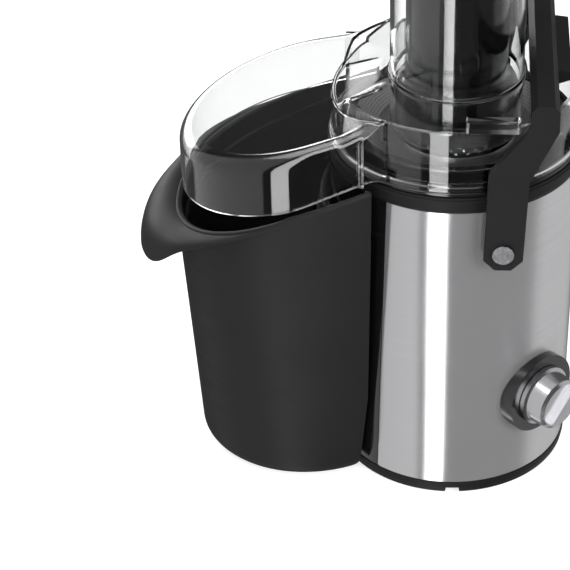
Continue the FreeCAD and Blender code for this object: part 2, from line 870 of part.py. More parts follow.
ARM_SIDE = [
    ("arm_pivot_x - 12", "arm_pivot_z - 5"),
    ("arm_pivot_x - 5", "arm_pivot_z - 12"),
    ("arm_pivot_x + 5", "arm_pivot_z - 12"),
    ("arm_pivot_x + 12", "arm_pivot_z - 5"),
    ("arm_pivot_x + 14", "arm_pivot_z + 50"),
    ("60", "280"),
    ("60", "293"),
    ("57", "297"),
    ("47", "297"),
    ("43.5", "293"),
    ("43.5", "281"),
    ("arm_pivot_x - 10", "arm_pivot_z + 55"),
]
locking_arm = side_body("locking_arm", ARM_SIDE, "2 * arm_outside")
sketch = new_sketch(locking_arm, "YZ_Plane")
draw_polygon(
    sketch,
    [
        ("-arm_inside", "150"),
        ("arm_inside", "150"),
        ("arm_inside", "lid_high + 4"),
        ("arm_inside - 6", "lid_high + 11.5"),
        ("-(arm_inside - 6)", "lid_high + 11.5"),
        ("-arm_inside", "lid_high + 4"),
    ],
)
pocket(locking_arm, sketch, "400", midplane=True)
sketch = new_sketch(locking_arm, "XZ_Plane")
draw_circle(sketch, "arm_pivot_x", "arm_pivot_z", "pin_radius + pin_clearance")
pocket(locking_arm, sketch, "400", midplane=True)
node(locking_arm)

node(
    side_body(
        "arm_grip",
        [("60.1", "284"), ("68", "287"), ("68", "292"), ("60.1", "293")],
        "70",
    )
)

bosses = []
pins = []
for side, sign in (("front", -1), ("rear", 1)):
    boss_low = "60" if sign > 0 else "-(arm_inside - 0.6)"
    bosses.append(
        rod(f"boss_{side}", "11", "arm_inside - 0.6 - 60", "arm_pivot_x", boss_low, "arm_pivot_z", ALONG_Y)
    )
    pin_low = "arm_inside - 0.6" if sign > 0 else "-(arm_outside + 0.3)"
    shank = rod(
        f"pin_shank_{side}",
        "pin_radius",
        "arm_outside - arm_inside + 0.9",
        "arm_pivot_x",
        pin_low,
        "arm_pivot_z",
        ALONG_Y,
    )
    head_low = "arm_outside + 0.3" if sign > 0 else "-(arm_outside + 2)"
    head = rod(f"pin_head_{side}", "6.5", "1.7", "arm_pivot_x", head_low, "arm_pivot_z", ALONG_Y)
    pins.append(join(f"pin_{side}", [shank, head]))
body_core = turned_body(
    "body_core",
    [
        ("0", "100"),
        ("body_radius_high + 0.05", "100"),
        ("body_radius_high + 0.05", "body_high + 10"),
        ("0", "body_high + 10"),
    ],
)
node(cut("pivot_bosses", group("boss_blanks", bosses), body_core))
node(group("pivot_pins", pins))

# ---------------------------------------------------------------- control knob and electrics

knob_core = turned_body(
    "knob_core",
    [
        ("0", "30"),
        ("body_radius_high - 1", "30"),
        ("body_radius_high - 1", "120"),
        ("0", "120"),
    ],
)
bezel_disc = radial_rod("bezel_disc", "bezel_radius", "60", "knob_face - 0.5")
bezel_bore = radial_rod("bezel_bore", "4.5", "50", "90")
node(cut("dial_plate", cut("bezel_blank", bezel_disc, knob_core), bezel_bore))


def knob_node(thing, distance):
    """Puts a piece that was drawn upright on the knob's axis, at a distance from the motor axis."""
    away = f"({distance})"
    return node(
        thing, f"axis_x + {away} * cos(knob_angle)", f"{away} * sin(knob_angle)", "knob_z", KNOB_TURN
    )


control_knob = turned_body(
    "control_knob",
    [
        ("0", "0"),
        ("knob_radius", "0"),
        ("knob_radius", "3"),
        ("knob_radius - 2", "4"),
        ("knob_radius - 3", "knob_depth - 2"),
        ("knob_radius - 5", "knob_depth"),
        ("0", "knob_depth"),
    ],
)
sketch = new_sketch(control_knob, "XY_Plane", "knob_depth - 0.5")
draw_polygon(sketch, [("-2", "-14"), ("2", "-14"), ("2", "14"), ("-2", "14")])
pad(control_knob, sketch, "4")
knob_node(control_knob, "knob_face")
knob_node(rod("knob_spindle", "3", "knob_face - 71"), "71")

rotary_switch = new_body("rotary_switch")
sketch = new_sketch(rotary_switch, "XY_Plane")
draw_polygon(sketch, [("-12", "-12"), ("12", "-12"), ("12", "12"), ("-12", "12")])
pad(rotary_switch, sketch, "14")
knob_node(rotary_switch, "56.5")

node(block("circuit_board", ("1.6", "50", "60"), ("0", "0", "0")), "axis_x - 60", "-25", "110")
node(block("interlock_switch", ("20", "7", "11"), ("0", "0", "0")), "axis_x + 20", "-60", "190")

cord_inlet = turned_body(
    "cord_inlet",
    [
        ("3.6", "68"),
        ("6.8", "68"),
        ("6.8", "77.4"),
        ("10", "77.4"),
        ("9", "80"),
        ("6", "84"),
        ("3.6", "84"),
    ],
)
node(cord_inlet, z="inlet_z", turn=ALONG_Y)

screw_heads = [
    rod(
        f"screw_head_{index}",
        "3",
        "1",
        f"36 * cos({angle})",
        f"36 * sin({angle})",
        "foot_height - 1",
    )
    for index, angle in enumerate(around(4), start=1)
]
node(group("plate_screws", screw_heads))

# ---------------------------------------------------------------- checks and files

doc.recompute()
problems = [thing.Name for thing in doc.Objects if {"Invalid", "Error"} & set(thing.State)]
for thing in nodes:
    if thing.Shape.isNull() or not thing.Shape.isValid() or thing.Shape.Volume <= 0:
        problems.append(f"{thing.Label}: bad shape")
if problems:
    raise RuntimeError(f"these did not build: {problems}")

for thing in nodes:
    thing.Shape.exportStep(f"parts/{thing.Label}.step")

whole = Part.makeCompound([thing.Shape for thing in nodes]).BoundBox
print(len(nodes), "pieces")
print(f"x {whole.XMin:.1f} to {whole.XMax:.1f}")
print(f"y {whole.YMin:.1f} to {whole.YMax:.1f}")
print(f"z {whole.ZMin:.1f} to {whole.ZMax:.1f}")
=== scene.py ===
import functools
import math

import bmesh
import bpy
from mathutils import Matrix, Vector


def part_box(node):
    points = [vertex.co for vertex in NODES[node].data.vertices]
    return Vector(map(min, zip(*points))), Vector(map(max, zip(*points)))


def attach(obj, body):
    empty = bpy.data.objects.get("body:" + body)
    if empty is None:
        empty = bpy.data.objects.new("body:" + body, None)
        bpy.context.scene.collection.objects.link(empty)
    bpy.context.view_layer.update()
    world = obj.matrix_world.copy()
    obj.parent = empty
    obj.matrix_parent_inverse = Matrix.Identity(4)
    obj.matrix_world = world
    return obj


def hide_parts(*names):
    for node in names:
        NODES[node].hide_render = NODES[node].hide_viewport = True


bl_info = {
    "name": "Centrifugal juicer",
    "version": (1, 0, 0),
    "blender": (4, 5, 0),
    "location": "3D View > Sidebar > Juicer",
    "description": "Dresses the juicer's frame: clear cover, pulp bin, steel panel, trims and finishes",
    "category": "Object",
}

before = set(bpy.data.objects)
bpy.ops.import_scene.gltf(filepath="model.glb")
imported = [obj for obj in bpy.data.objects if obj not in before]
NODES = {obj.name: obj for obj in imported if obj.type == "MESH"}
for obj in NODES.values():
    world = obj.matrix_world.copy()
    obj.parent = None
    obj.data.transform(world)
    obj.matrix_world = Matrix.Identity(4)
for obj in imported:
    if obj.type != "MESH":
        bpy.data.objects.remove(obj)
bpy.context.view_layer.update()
MM = 0.001
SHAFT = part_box("motor_shaft")
AXIS_X = (SHAFT[0].x + SHAFT[1].x) / 2


# ---------------------------------------------------------------- sizes and colours


class JuicerSizes(bpy.types.PropertyGroup):
    """Sizes that the detail pieces are drawn with, in metres."""

    lid_wall: bpy.props.FloatProperty(
        name="Clear wall", description="Thickness of the clear moulding", default=0.0022, unit="LENGTH"
    )
    hood_fillet: bpy.props.FloatProperty(
        name="Hood fillet", description="Setback of the hood's top edge", default=0.009, unit="LENGTH"
    )
    bin_wall: bpy.props.FloatProperty(
        name="Bin wall", description="Thickness of the pulp bin", default=0.0024, unit="LENGTH"
    )
    bin_foot_fillet: bpy.props.FloatProperty(
        name="Bin foot fillet", description="Rounding round the bin's floor",
        default=0.010, unit="LENGTH",
    )
    bin_ledge_depth: bpy.props.FloatProperty(
        name="Bin ledge", description="How far below the rim the hood's ledge lies",
        default=0.012, unit="LENGTH",
    )
    handle_reach: bpy.props.FloatProperty(
        name="Handle reach", description="How far the handle lip stands out",
        default=0.024, unit="LENGTH",
    )
    handle_drop: bpy.props.FloatProperty(
        name="Handle drop", description="How far the handle lip hangs down",
        default=0.0265, unit="LENGTH",
    )
    plastic_grain: bpy.props.FloatProperty(
        name="Moulded grain", description="Depth of the fine texture on satin plastic",
        default=0.00004, unit="LENGTH",
    )


class JuicerColours(bpy.types.PropertyGroup):
    """Base colours of the finishes."""

    bin_black: bpy.props.FloatVectorProperty(
        name="Bin", description="Satin charcoal of the pulp bin",
        subtype="COLOR", default=(0.0125, 0.0125, 0.013),
    )
    trim_black: bpy.props.FloatVectorProperty(
        name="Trim", description="Black of the collar, ring and knob",
        subtype="COLOR", default=(0.009, 0.009, 0.0094),
    )
    gloss_black: bpy.props.FloatVectorProperty(
        name="Gloss black", description="Black of the pusher and side panel",
        subtype="COLOR", default=(0.005, 0.005, 0.0055),
    )
    steel: bpy.props.FloatVectorProperty(
        name="Steel", description="Brushed steel of the body",
        subtype="COLOR", default=(0.53, 0.53, 0.54),
    )
    clear: bpy.props.FloatVectorProperty(
        name="Clear", description="Tint of the clear moulding",
        subtype="COLOR", default=(0.945, 0.95, 0.95),
    )


def sizes():
    return bpy.context.scene.juicer_sizes


def colours():
    return bpy.context.scene.juicer_colours


# ---------------------------------------------------------------- finishes

finishes = {}


def link(tree, start, end):
    tree.links.new(start, end)


def fill(made, **values):
    """Sets a node's sockets and settings by name. The name of a socket has _ for each space."""
    for key, value in values.items():
        socket = key.replace("_", " ")
        if socket in made.inputs:
            made.inputs[socket].default_value = value
        else:
            setattr(made, key, value)
    return made


def add_node(tree, kind, **values):
    return fill(tree.nodes.new(kind), **values)


def new_finish(name):
    """The tree of a new material, with one shader that leads to its output."""
    material = bpy.data.materials.new(name)
    material.use_nodes = True
    tree = material.node_tree
    tree.nodes.clear()
    shader = add_node(tree, "ShaderNodeBsdfPrincipled")
    output = add_node(tree, "ShaderNodeOutputMaterial")
    link(tree, shader.outputs["BSDF"], output.inputs["Surface"])
    finishes[name] = material
    return tree, shader


def place(tree, scale=(1, 1, 1), source="Object"):
    """Coordinates of the piece itself, stretched by scale."""
    stretch = add_node(tree, "ShaderNodeMapping", Scale=scale)
    link(tree, add_node(tree, "ShaderNodeTexCoord").outputs[source], stretch.inputs["Vector"])
    return stretch.outputs["Vector"]


def noise(tree, where, scale, detail=3.0, rough=0.5):
    made = add_node(tree, "ShaderNodeTexNoise", Scale=scale, Detail=detail, Roughness=rough)
    link(tree, where, made.inputs["Vector"])
    return made.outputs["Fac"]


def ranged(tree, value, low, high, low_in=0.3, high_in=0.7, way="LINEAR"):
    """A value from low to high, as another goes from low_in to high_in."""
    made = add_node(tree, "ShaderNodeMapRange", interpolation_type=way)
    fill(made, From_Min=low_in, From_Max=high_in, To_Min=low, To_Max=high)
    link(tree, value, made.inputs["Value"])
    return made.outputs["Result"]


def toned(tree, value, first, second):
    """A colour between two others."""
    made = add_node(tree, "ShaderNodeMix", data_type="RGBA", A=(*first, 1), B=(*second, 1))
    link(tree, value, made.inputs["Factor"])
    return made.outputs["Result"]


def bumped(tree, value, distance, strength=1.0):
    made = add_node(tree, "ShaderNodeBump", Strength=strength, Distance=distance)
    link(tree, value, made.inputs["Height"])
    return made.outputs["Normal"]


def shade(colour, factor):
    return tuple(min(1.0, part * factor) for part in colour)


def plastic(name, colour, rough, grain, grain_scale=2600.0, coat=0.0, wear=0.12, gloss=0.5):
    """Moulded plastic: a fine surface grain, slow changes of sheen, and faint handling marks."""
    tree, shader = new_finish(name)
    where = place(tree)
    cloud = noise(tree, where, 24.0, 4.0)
    speck = noise(tree, where, grain_scale, 2.0, 0.6)
    smear = noise(tree, place(tree, (9, 9, 60)), 3.0, 5.0, 0.65)
    link(tree, toned(tree, cloud, shade(colour, 0.88), shade(colour, 1.14)), shader.inputs["Base Color"])
    link(tree, ranged(tree, smear, rough * (1 - wear), rough * (1 + wear)), shader.inputs["Roughness"])
    link(tree, bumped(tree, speck, grain), shader.inputs["Normal"])
    fill(shader, IOR=1.5, Specular_IOR_Level=gloss, Coat_Weight=coat, Coat_Roughness=0.06)


def metal(name, colour, rough, grain_scale=900.0, grain=0.00001, stretch=(1, 1, 1)):
    """Bare metal with a drawn or cast grain along one direction."""
    tree, shader = new_finish(name)
    streak = noise(tree, place(tree, stretch), grain_scale, 3.0, 0.6)
    cloud = noise(tree, place(tree), 30.0, 3.0)
    fill(shader, Metallic=1.0)
    link(tree, toned(tree, cloud, shade(colour, 0.93), shade(colour, 1.05)), shader.inputs["Base Color"])
    link(tree, ranged(tree, streak, rough * 0.8, rough * 1.2), shader.inputs["Roughness"])
    link(tree, bumped(tree, streak, grain), shader.inputs["Normal"])


def brushed_steel(name, colour):
    """Steel sheet brushed round the body: long fine scratches along the sheet's width."""
    tree, shader = new_finish(name)
    fine = noise(tree, place(tree, (14, 5200, 1), "UV"), 1.0, 2.0, 0.7)
    broad = noise(tree, place(tree, (5, 900, 1), "UV"), 1.0, 3.0, 0.6)
    cloud = noise(tree, place(tree), 14.0, 3.0)
    link(tree, toned(tree, broad, shade(colour, 0.86), shade(colour, 1.1)), shader.inputs["Base Color"])
    link(tree, ranged(tree, cloud, 0.19, 0.23), shader.inputs["Roughness"])
    link(tree, bumped(tree, fine, 0.000006, 0.6), shader.inputs["Normal"])
    fill(shader, Metallic=0.78, Anisotropic=0.95, Anisotropic_Rotation=0.25)
    along = add_node(tree, "ShaderNodeTangent", direction_type="UV_MAP", uv_map="UVMap")
    link(tree, along.outputs["Tangent"], shader.inputs["Tangent"])


def clear_plastic(name, colour):
    """Clear moulding with the faint waves of its cooling."""
    tree, shader = new_finish(name)
    wave = noise(tree, place(tree, (1, 1, 0.6)), 42.0, 2.0, 0.4)
    link(tree, bumped(tree, wave, 0.0002, 0.12), shader.inputs["Normal"])
    fill(shader, Base_Color=(*colour, 1), Roughness=0.012, Transmission_Weight=1.0, IOR=1.49)


def perforated(name, colour):
    """Sieve sheet: rows of fine holes that show as dark dots."""
    tree, shader = new_finish(name)
    dots = add_node(tree, "ShaderNodeTexVoronoi", feature="F1", Scale=980.0, Randomness=0.12)
    link(tree, place(tree), dots.inputs["Vector"])
    hole = ranged(tree, dots.outputs["Distance"], 0.0, 1.0, 0.26, 0.40)
    link(tree, toned(tree, hole, (0.004, 0.004, 0.004), colour), shader.inputs["Base Color"])
    link(tree, hole, shader.inputs["Metallic"])
    link(tree, ranged(tree, hole, 0.8, 0.34, 0.0, 1.0), shader.inputs["Roughness"])
    link(tree, bumped(tree, hole, 0.0002), shader.inputs["Normal"])


def board(name):
    """Circuit board: green lacquer over tracks."""
    tree, shader = new_finish(name)
    tracks = add_node(tree, "ShaderNodeTexBrick", Scale=90.0, Mortar=(0.03, 0.22, 0.08, 1))
    fill(tracks, Color1=(0.010, 0.10, 0.035, 1), Color2=(0.014, 0.13, 0.045, 1))
    link(tree, place(tree), tracks.inputs["Vector"])
    link(tree, tracks.outputs["Color"], shader.inputs["Base Color"])
    link(tree, bumped(tree, tracks.outputs["Fac"], 0.0001), shader.inputs["Normal"])
    fill(shader, Roughness=0.3)


def make_finishes():
    paint = colours()
    grain = sizes().plastic_grain
    plastic("satin_bin", tuple(paint.bin_black), 0.45, grain * 0.6, 3200.0, gloss=0.09)
    plastic("black_plastic", tuple(paint.trim_black), 0.46, grain * 0.8, 2400.0, gloss=0.12)
    plastic("gloss_black", tuple(paint.gloss_black), 0.13, grain * 0.1, 900.0, 0.4)
    plastic("rubber", (0.018, 0.018, 0.018), 0.82, grain * 3, 1500.0)
    plastic("carbon", (0.03, 0.03, 0.032), 0.6, grain * 2, 1800.0)
    brushed_steel("brushed_steel", tuple(paint.steel))
    clear_plastic("clear_plastic", tuple(paint.clear))
    perforated("basket_steel", (0.4, 0.39, 0.4))
    metal("bearing_steel", (0.62, 0.62, 0.64), 0.22, 700.0, 0.000004)
    metal("iron", (0.30, 0.30, 0.31), 0.45, 1500.0, 0.00002, (0.05, 0.05, 1.6))
    metal("copper", (0.72, 0.29, 0.14), 0.33, 1400.0, 0.00006, (0.3, 0.3, 1.4))
    metal("brass", (0.78, 0.57, 0.25), 0.30, 900.0, 0.00001)
    board("board_green")


# ---------------------------------------------------------------- meshes, in mm about the motor axis


BODY_REACH = 0.076
UV_CELL = 0.002
WELD = 2e-6


def rounded(corners, steps=4):
    """A closed outline with its corners eased. A corner is (across, up) or (across, up, setback)."""
    eased = []
    count = len(corners)
    for index, corner in enumerate(corners):
        here = Vector(corner[:2])
        setback = corner[2] if len(corner) > 2 else 0.0
        if setback <= 0:
            eased.append(tuple(here))
            continue
        before = Vector(corners[index - 1][:2]) - here
        after = Vector(corners[(index + 1) % count][:2]) - here
        reach = min(setback, before.length * 0.48, after.length * 0.48)
        start = here + before.normalized() * reach
        stop = here + after.normalized() * reach
        for step in range(steps + 1):
            share = step / steps
            point = start * (1 - share) ** 2 + here * 2 * share * (1 - share) + stop * share**2
            eased.append(tuple(point))
    return eased


def oblong(low, high, ease, steps):
    """A rectangle between two corners, with its corners eased."""
    (left, near), (right, far) = low, high
    return rounded([(left, near, ease), (right, near, ease), (right, far, ease), (left, far, ease)], steps)


def turned(outline, steps=144, start=0.0, sweep=360.0, change=None):
    """A closed outline of (radius, height) pairs turned about Z, from start through sweep degrees."""
    whole = abs(sweep) >= 359.999
    turns = steps if whole else steps + 1
    points = []
    length = [0.0]
    for one, other in zip(outline, outline[1:] + outline[:1]):
        length.append(length[-1] + math.hypot(other[0] - one[0], other[1] - one[1]))
    for turn in range(turns):
        angle = math.radians(start + sweep * turn / steps)
        for index, (radius, height) in enumerate(outline):
            if change is not None:
                radius, height = change(angle, radius, height)
            points.append((radius * math.cos(angle), radius * math.sin(angle), height))
    count = len(outline)
    faces, uvs = [], []
    scale = BODY_REACH * math.radians(sweep) / steps
    for turn in range(steps):
        following = (turn + 1) % turns
        for index in range(count):
            after = (index + 1) % count
            here, there = turn * count, following * count
            faces.append((here + index, there + index, there + after, here + after))
            low, high = length[index] * MM, length[index + 1] * MM
            left, right = turn * scale, (turn + 1) * scale
            uvs.append(((left, low), (right, low), (right, high), (left, high)))
    if not whole:
        for first in (0, steps * count):
            faces.append(tuple(range(first, first + count)))
            uvs.append(tuple((point[0] * MM, point[1] * MM) for point in outline))
    return points, faces, uvs


def sheeted(rows, around=False, ends=False):
    """A net of points joined into four-sided faces. Rows run one way, and around closes them into rings."""
    width = len(rows[0])
    points = [point for row in rows for point in row]
    faces, uvs = [], []
    for row in range(len(rows) - 1):
        for index in range(width if around else width - 1):
            after = (index + 1) % width
            here, there = row * width, (row + 1) * width
            faces.append((here + index, here + after, there + after, there + index))
            corners = ((index, row), (index + 1, row), (index + 1, row + 1), (index, row + 1))
            uvs.append(tuple((across * UV_CELL, along * UV_CELL) for across, along in corners))
    if ends:
        for first in (0, (len(rows) - 1) * width):
            faces.append(tuple(range(first, first + width)))
            uvs.append(tuple((points[first + k][0] * MM, points[first + k][1] * MM) for k in range(width)))
    return points, faces, uvs


def merged(*parts):
    """Several nets as one."""
    points, faces, uvs = [], [], []
    for some_points, some_faces, some_uvs in parts:
        offset = len(points)
        points += list(some_points)
        faces += [tuple(index + offset for index in face) for face in some_faces]
        uvs += list(some_uvs)
    return points, faces, uvs


def new_mesh(name, net, outward=True):
    points, faces, uvs = net
    mesh = bpy.data.meshes.new(name)
    mesh.from_pydata([tuple(part * MM for part in point) for point in points], [], faces)
    layer = mesh.uv_layers.new(name="UVMap")
    for face, spots in zip(mesh.polygons, uvs):
        for corner, spot in zip(face.loop_indices, spots):
            layer.data[corner].uv = spot
    work = bmesh.new()
    work.from_mesh(mesh)
    bmesh.ops.remove_doubles(work, verts=work.verts, dist=WELD)
    if outward:
        bmesh.ops.recalc_face_normals(work, faces=work.faces)
    work.to_mesh(mesh)
    work.free()
    return mesh


def put(name, data):
    """A new object in the scene."""
    made = bpy.data.objects.new(name, data)
    bpy.context.scene.collection.objects.link(made)
    return made


def piece(name, net, finish, body, stands_for=(), sharp=32.0, extra=()):
    """A finished detail piece on a body of the machine."""
    mesh = new_mesh(name, net)
    mesh.shade_smooth()
    mesh.set_sharp_from_angle(angle=math.radians(sharp))
    mesh.materials.append(finishes[finish])
    made = put(name, mesh)
    made.location.x = AXIS_X
    for kind, settings in extra:
        added = made.modifiers.new(kind.title(), kind)
        for key, value in settings.items():
            setattr(added, key, value)
    even = made.modifiers.new("Even shading", "WEIGHTED_NORMAL")
    even.keep_sharp = True
    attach(made, body)
    if stands_for:
        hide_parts(*stands_for)
    return made


def dress(names, finish):
    """Gives CAD nodes their finish."""
    for name in names:
        shown = NODES[name]
        shown.data.materials.clear()
        shown.data.materials.append(finishes[finish])


def soften(name, width, angle=40.0, segments=3):
    """Rounds the sharp edges of a CAD node as it is shown."""
    added = NODES[name].modifiers.new("Soft edges", "BEVEL")
    added.width = width
    added.segments = segments
    added.limit_method = "ANGLE"
    added.angle_limit = math.radians(angle)
    added.harden_normals = True


# ---------------------------------------------------------------- casing

BODY_LOW, BODY_HIGH = 9.0, 219.0
RADIUS_LOW, RADIUS_HIGH = 76.4, 78.4
EDGE_LOW, EDGE_HIGH = 127.6, 121.3
NOTCH_FROM, NOTCH_TO, NOTCH_HIGH = -1.9, 6.8, 4.8
SHEET, SHEET_GAP, LEVELS = 0.7, 0.35, 12


def skin_radius(height):
    share = (height - BODY_LOW) / (BODY_HIGH - BODY_LOW)
    return RADIUS_LOW + (RADIUS_HIGH - RADIUS_LOW) * share


def panel_net(edge_low, edge_high, middle, steps):
    """A curved panel of the body between two slanting edges, with its thickness turned in all round."""
    rows = []
    layers = [(0.0, 0.0)]
    for level in range(LEVELS + 1):
        layers.append((level / LEVELS, 1.0))
    layers.append((1.0, 0.0))
    for share, out in layers:
        height = BODY_LOW + (BODY_HIGH - BODY_LOW) * share
        if out and share in (0.0, 1.0):
            height += 0.35 if share == 0.0 else -0.35
        half = edge_low + (edge_high - edge_low) * share
        row = []
        for step in range(steps + 1):
            angle = math.radians(middle - half + 2 * half * step / steps)
            radius = skin_radius(height) - SHEET * (1 - out)
            if out and step in (0, steps):
                radius -= 0.3
            row.append((radius * math.cos(angle), radius * math.sin(angle), height))
        rows.append(row)
    points, faces, _ = sheeted(rows)
    width = steps + 1
    across = math.radians(2 * edge_low) * BODY_REACH / steps
    spots = [tuple((across * (index % width), points[index][2] * MM) for index in face) for face in faces]
    return points, faces, spots


class JUICER_OT_casing(bpy.types.Operator):
    """Builds the steel panel, the black panel beside the bin, and the base ring"""

    bl_idname = "juicer.casing"
    bl_label = "Casing"

    def execute(self, context):
        steel = panel_net(EDGE_LOW, EDGE_HIGH, 0.0, 160)
        piece("steel_panel", steel, "brushed_steel", "machine", ("steel_wrap",))
        strip = panel_net(180 - EDGE_LOW - SHEET_GAP, 180 - EDGE_HIGH - SHEET_GAP, 180.0, 60)
        piece("side_panel", strip, "gloss_black", "machine", ("bin_side_panel",))

        def notched(angle, radius, height):
            across, along = radius * math.cos(angle), radius * math.sin(angle)
            if along < 0 and NOTCH_FROM < across < NOTCH_TO:
                height = max(height, NOTCH_HIGH)
            return radius, height

        ring = rounded([(73, 1), (76.2, 1, 0.5), (76.9, 5, 0.4), (76.9, 8.8, 0.7), (73, 8.8)])
        piece("foot_ring", turned(ring, 720, change=notched), "black_plastic", "machine", ("base_ring",))
        return {"FINISHED"}


# ---------------------------------------------------------------- collar, bowl and spout

BAND_START, BAND_SWEEP = 10.8, 338.4
BAND = [
    (73, 219.2),
    (78.9, 219.2, 0.5),
    (79.4, 221.5, 0.6),
    (79.4, 227.2, 0.6),
    (78.5, 227.7, 0.3),
    (78.5, 228.3, 0.3),
    (79.2, 228.7, 0.4),
    (79.1, 229.6, 0.5),
    (73, 229.6),
]
BOWL = [
    (18, 219.6),
    (72.6, 219.6),
    (72.6, 229.8),
    (78.0, 229.8, 0.4),
    (78.6, 231.2, 0.8),
    (77.8, 232.6, 0.8),
    (74.2, 232.6, 0.5),
    (74.2, 237.6, 0.6),
    (72, 237.6, 0.6),
    (70, 229.6, 1),
    (70, 222, 3),
    (20.5, 222, 1),
    (20.5, 226, 0.5),
    (18, 226, 0.5),
]
SPOUT_RUN = [(72, 225.2), (84, 225.2), (92, 224), (99, 220.5), (103.6, 214.5), (105.5, 207), (105.5, 198)]


def spout_net():
    """The juice spout: a flat tube that leaves the bowl level, bends down, and swells as it falls."""
    outer = oblong((-14, -5.2), (14, 5.2), 4, 4)
    inner = oblong((-12, -3.4), (12, 3.4), 3, 4)
    last = len(SPOUT_RUN) - 1
    rows = []
    for shape, order in ((outer, range(last + 1)), (inner, range(last, -1, -1))):
        for index in order:
            across, height = SPOUT_RUN[index]
            before, after = SPOUT_RUN[max(0, index - 1)], SPOUT_RUN[min(last, index + 1)]
            slope = Vector((after[0] - before[0], after[1] - before[1])).normalized()
            swell = 1.0 + 0.45 * max(0.0, -slope.y)
            lean, rise = slope.y * swell, slope.x * swell
            rows.append([(across - lean * up, side, height + rise * up) for side, up in shape])
    rows.append(rows[0])
    return sheeted(rows, around=True)


class JUICER_OT_collar(bpy.types.Operator):
    """Builds the collar above the steel panel and the filter bowl with its spout"""

    bl_idname = "juicer.collar"
    bl_label = "Collar and bowl"

    def execute(self, context):
        net = turned(rounded(BAND), 160, BAND_START, BAND_SWEEP)
        piece("collar_band", net, "black_plastic", "machine", ("trim_collar",))
        net = merged(turned(rounded(BOWL), 160), spout_net())
        piece("bowl_and_spout", net, "gloss_black", "machine", ("filter_bowl",))
        return {"FINISHED"}


# ---------------------------------------------------------------- clear cover

LID_RADIUS, LID_LOW, LID_HIGH = 76.8, 233.0, 273.7
LID_WALL = 2.2
TUBE_RADIUS, TUBE_BORE, TUBE_LOW, TUBE_HIGH = 41.0, 38.6, 238.0, 380.0
OUTLET_LOW, OUTLET_HIGH = (-90, -32.5, 239), (-60, 32.5, 256.5)
HOOD_CENTRE, HOOD_RADIUS = -98.0, 74.2
HOOD_ROOT = (-40.0, 65.6)
HOOD_BLEND = 12.0
ROOF_LINE = [(-200.0, 226.05), (-180.0, 231.5), (-68.0, 262.0), (-44.0, 273.0), (-30.0, 273.4)]
SKIRT_LINE = [(-200.0, 189.0), (-180.0, 194.0), (-98.0, 214.5), (-50.0, 232.6), (-30.0, 233.0)]


def along_line(line, across):
    for (x1, z1), (x2, z2) in zip(line, line[1:]):
        if across <= x2:
            return z1 + (z2 - z1) * (across - x1) / (x2 - x1)
    return line[-1][1]


def hood_outline():
    """The hood's outline from above, from its near root round the far end to its other root."""
    gap = Vector((HOOD_ROOT[0] - HOOD_CENTRE, -HOOD_ROOT[1]))
    lean = math.atan2(gap.y, gap.x) - math.acos(HOOD_RADIUS / gap.length)
    touch = Vector((HOOD_CENTRE + HOOD_RADIUS * math.cos(lean), HOOD_RADIUS * math.sin(lean)))
    near = []
    for step in range(26):
        share = step / 26
        x = HOOD_ROOT[0] + (touch.x - HOOD_ROOT[0]) * share
        near.append((x, -HOOD_ROOT[1] + (touch.y + HOOD_ROOT[1]) * share))
    arc = []
    sweep = 2 * (math.pi + lean)
    for step in range(81):
        angle = lean - sweep * step / 80
        arc.append((HOOD_CENTRE + HOOD_RADIUS * math.cos(angle), HOOD_RADIUS * math.sin(angle)))
    far = [(x, -y) for x, y in near[::-1]]
    return near + arc + far


def hood_net():
    """The hood's outside: skirt, wall, eased top edge and roof, which runs in to the round cover."""
    setback = sizes().hood_fillet / MM
    columns = []
    for x, y in hood_outline():
        here = Vector((x, y))
        if abs(y) > 1e-6 and x > HOOD_CENTRE + HOOD_BLEND:
            beside = math.sqrt(max(0.0, LID_RADIUS**2 - x * x)) if x > -LID_RADIUS else 0.0
            inner = Vector((x, math.copysign(beside, y)))
        else:
            share = max(0.0, (x - HOOD_CENTRE) / HOOD_BLEND)
            inner = Vector((x * share + HOOD_CENTRE * (1 - share), 0.0))
        width = (inner - here).length
        ease = min(setback, width * 0.7)
        inward = (inner - here).normalized() if width > 1e-6 else Vector((0, 0))
        low = along_line(SKIRT_LINE, x)
        high = along_line(ROOF_LINE, x)
        column = []
        for share in (0.0, 0.12, 0.3, 0.5, 0.7, 0.85, 1.0):
            column.append((x, y, low + (high - ease - low) * share))
        for step in range(1, 9):
            turn = math.radians(90 * step / 8)
            spot = here + inward * ease * (1 - math.cos(turn))
            roof = along_line(ROOF_LINE, spot.x)
            column.append((spot.x, spot.y, roof - ease * (1 - math.sin(turn))))
        for share in (0.15, 0.3, 0.45, 0.6, 0.75, 0.9, 1.0):
            spot = here + inward * (ease + (width - ease) * share)
            column.append((spot.x, spot.y, along_line(ROOF_LINE, spot.x)))
        columns.append(column)
    return sheeted(columns)


def ramped(angle, radius, height):
    """Lowers the cover's roof towards the hood, over the channel by which pulp leaves."""
    off_axis = abs(abs(math.degrees((angle + math.pi) % (2 * math.pi) - math.pi)) - 180)
    share = min(1.0, max(0.0, (32.0 - off_axis) / 13.0))
    if height < LID_HIGH - 8 or radius < TUBE_RADIUS + 0.1 or share == 0.0:
        return radius, height
    fall = max(0.0, LID_HIGH - along_line(ROOF_LINE, radius * math.cos(angle)))
    return radius, height - fall * share * share * (3 - 2 * share)


